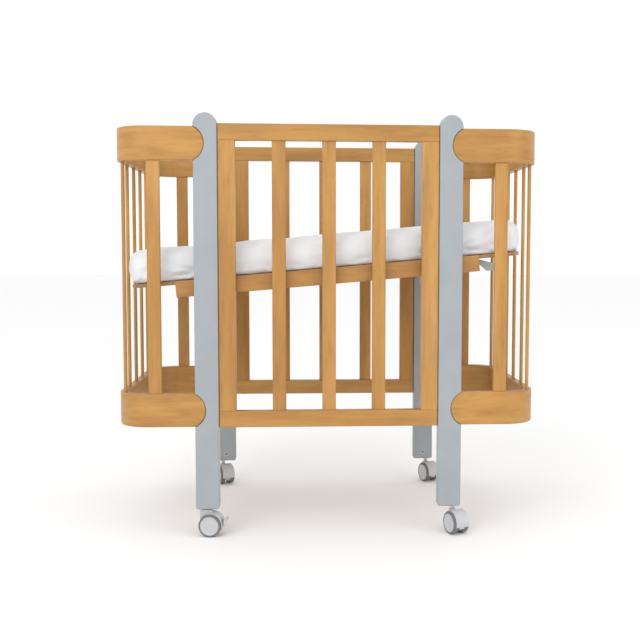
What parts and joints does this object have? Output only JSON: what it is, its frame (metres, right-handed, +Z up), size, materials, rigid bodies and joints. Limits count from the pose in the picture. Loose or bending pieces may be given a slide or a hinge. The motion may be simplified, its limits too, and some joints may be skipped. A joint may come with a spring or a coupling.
{
  "type": "convertible crib",
  "caption": "Wooden convertible crib with oval bent rims, slatted sides, grey posts, a tilting mattress base and swivel casters.",
  "frame": {"origin": "on the floor under the middle of the crib's four posts", "axes": "+X along the crib towards the raised end of the mattress, +Y from front to back, +Z up"},
  "size_m": [0.902, 0.5309, 0.8964],
  "materials": {
    "beech": "clear satin lacquer over a fine straight grain",
    "painted_post": "pale grey satin paint",
    "plywood": "clear satin lacquer",
    "mattress_cover": "white cotton cover over foam, seamed round the edges",
    "lever_plastic": "light grey, fine texture",
    "caster_plastic": "light grey, semi-gloss",
    "caster_tyre": "soft grey rubber",
    "steel": "zinc plated"
  },
  "bodies": {
    "frame": {"back_bottom_rail": "beech", "back_slats": "beech", "back_stiles": "beech", "back_top_rail": "beech", "caster_sockets": "steel", "caster_stems": "steel", "end_rods": "beech", "end_slats": "beech", "frame_bolts": "steel", "front_bottom_rail": "beech", "front_slats": "beech", "front_stiles": "beech", "front_top_rail": "beech", "panel_dowels": "beech", "pivot_bolts": "steel", "post_back_left": "painted_post", "post_back_right": "painted_post", "post_front_left": "painted_post", "post_front_right": "painted_post", "rim_bottom_left": "beech", "rim_bottom_right": "beech", "rim_top_left": "beech", "rim_top_right": "beech", "threaded_inserts": "steel", "tilt_tracks": "steel"},
    "base": {"base_beam_front": "beech", "base_beam_back": "beech", "base_battens": "beech", "base_board": "plywood", "board_screws": "steel", "beam_spacers": "steel", "clamp_bolts": "steel", "mattress": "mattress_cover"},
    "front_lever": {"clamp_lever_front": "lever_plastic"},
    "back_lever": {"clamp_lever_back": "lever_plastic"},
    "caster_front_left": {"caster_hood_front_left": "caster_plastic", "caster_axle_front_left": "steel"},
    "wheel_front_left_outer": {"wheel_hub_front_left_outer": "caster_plastic", "wheel_tyre_front_left_outer": "caster_tyre"},
    "wheel_front_left_inner": {"wheel_hub_front_left_inner": "caster_plastic", "wheel_tyre_front_left_inner": "caster_tyre"},
    "brake": {"brake_pedal": "caster_plastic"},
    "caster_front_right": {"caster_hood_front_right": "caster_plastic", "caster_axle_front_right": "steel"},
    "wheel_front_right_outer": {"wheel_hub_front_right_outer": "caster_plastic", "wheel_tyre_front_right_outer": "caster_tyre"},
    "wheel_front_right_inner": {"wheel_hub_front_right_inner": "caster_plastic", "wheel_tyre_front_right_inner": "caster_tyre"},
    "caster_back_left": {"caster_hood_back_left": "caster_plastic", "caster_axle_back_left": "steel"},
    "wheel_back_left_outer": {"wheel_hub_back_left_outer": "caster_plastic", "wheel_tyre_back_left_outer": "caster_tyre"},
    "wheel_back_left_inner": {"wheel_hub_back_left_inner": "caster_plastic", "wheel_tyre_back_left_inner": "caster_tyre"},
    "caster_back_right": {"caster_hood_back_right": "caster_plastic", "caster_axle_back_right": "steel"},
    "wheel_back_right_outer": {"wheel_hub_back_right_outer": "caster_plastic", "wheel_tyre_back_right_outer": "caster_tyre"},
    "wheel_back_right_inner": {"wheel_hub_back_right_inner": "caster_plastic", "wheel_tyre_back_right_inner": "caster_tyre"}
  },
  "joints": [
    {"name": "base_tilt", "type": "hinge", "parent": "frame", "child": "base", "pos_m": [-0.259, 0, 0.533], "axis": [0, 1, 0], "range_deg": [0, 5]},
    {"name": "front_clamp", "type": "hinge", "parent": "base", "child": "front_lever", "pos_m": [0.259, -0.196, 0.57832], "axis": [0, 1, 0], "range_deg": [0, 35]},
    {"name": "back_clamp", "type": "hinge", "parent": "base", "child": "back_lever", "pos_m": [0.259, 0.196, 0.57832], "axis": [0, 1, 0], "range_deg": [0, 35]},
    {"name": "swivel_front_left", "type": "hinge", "parent": "frame", "child": "caster_front_left", "pos_m": [-0.2685, -0.236, 0.06], "axis": [0, 0, 1], "continuous": true},
    {"name": "roll_front_left_outer", "type": "hinge", "parent": "caster_front_left", "child": "wheel_front_left_outer", "pos_m": [-0.25315, -0.23816, 0.024], "axis": [-0.1392, -0.9903, 0], "continuous": true},
    {"name": "roll_front_left_inner", "type": "hinge", "parent": "caster_front_left", "child": "wheel_front_left_inner", "pos_m": [-0.25315, -0.23816, 0.024], "axis": [-0.1392, -0.9903, 0], "continuous": true},
    {"name": "brake_press", "type": "hinge", "parent": "caster_front_left", "child": "brake", "pos_m": [-0.23374, -0.24088, 0.0282], "axis": [0.1392, 0.9903, 0], "range_deg": [0, 12]},
    {"name": "swivel_front_right", "type": "hinge", "parent": "frame", "child": "caster_front_right", "pos_m": [0.2685, -0.236, 0.06], "axis": [0, 0, 1], "continuous": true},
    {"name": "roll_front_right_outer", "type": "hinge", "parent": "caster_front_right", "child": "wheel_front_right_outer", "pos_m": [0.27456, -0.25027, 0.024], "axis": [-0.9205, -0.3907, 0], "continuous": true},
    {"name": "roll_front_right_inner", "type": "hinge", "parent": "caster_front_right", "child": "wheel_front_right_inner", "pos_m": [0.27456, -0.25027, 0.024], "axis": [-0.9205, -0.3907, 0], "continuous": true},
    {"name": "swivel_back_left", "type": "hinge", "parent": "frame", "child": "caster_back_left", "pos_m": [-0.2685, 0.236, 0.06], "axis": [0, 0, 1], "continuous": true},
    {"name": "roll_back_left_outer", "type": "hinge", "parent": "caster_back_left", "child": "wheel_back_left_outer", "pos_m": [-0.2622, 0.22184, 0.024], "axis": [-0.9135, -0.4067, 0], "continuous": true},
    {"name": "roll_back_left_inner", "type": "hinge", "parent": "caster_back_left", "child": "wheel_back_left_inner", "pos_m": [-0.2622, 0.22184, 0.024], "axis": [-0.9135, -0.4067, 0], "continuous": true},
    {"name": "swivel_back_right", "type": "hinge", "parent": "frame", "child": "caster_back_right", "pos_m": [0.2685, 0.236, 0.06], "axis": [0, 0, 1], "continuous": true},
    {"name": "roll_back_right_outer", "type": "hinge", "parent": "caster_back_right", "child": "wheel_back_right_outer", "pos_m": [0.2748, 0.22184, 0.024], "axis": [-0.9135, -0.4067, 0], "continuous": true},
    {"name": "roll_back_right_inner", "type": "hinge", "parent": "caster_back_right", "child": "wheel_back_right_inner", "pos_m": [0.2748, 0.22184, 0.024], "axis": [-0.9135, -0.4067, 0], "continuous": true}
  ]
}
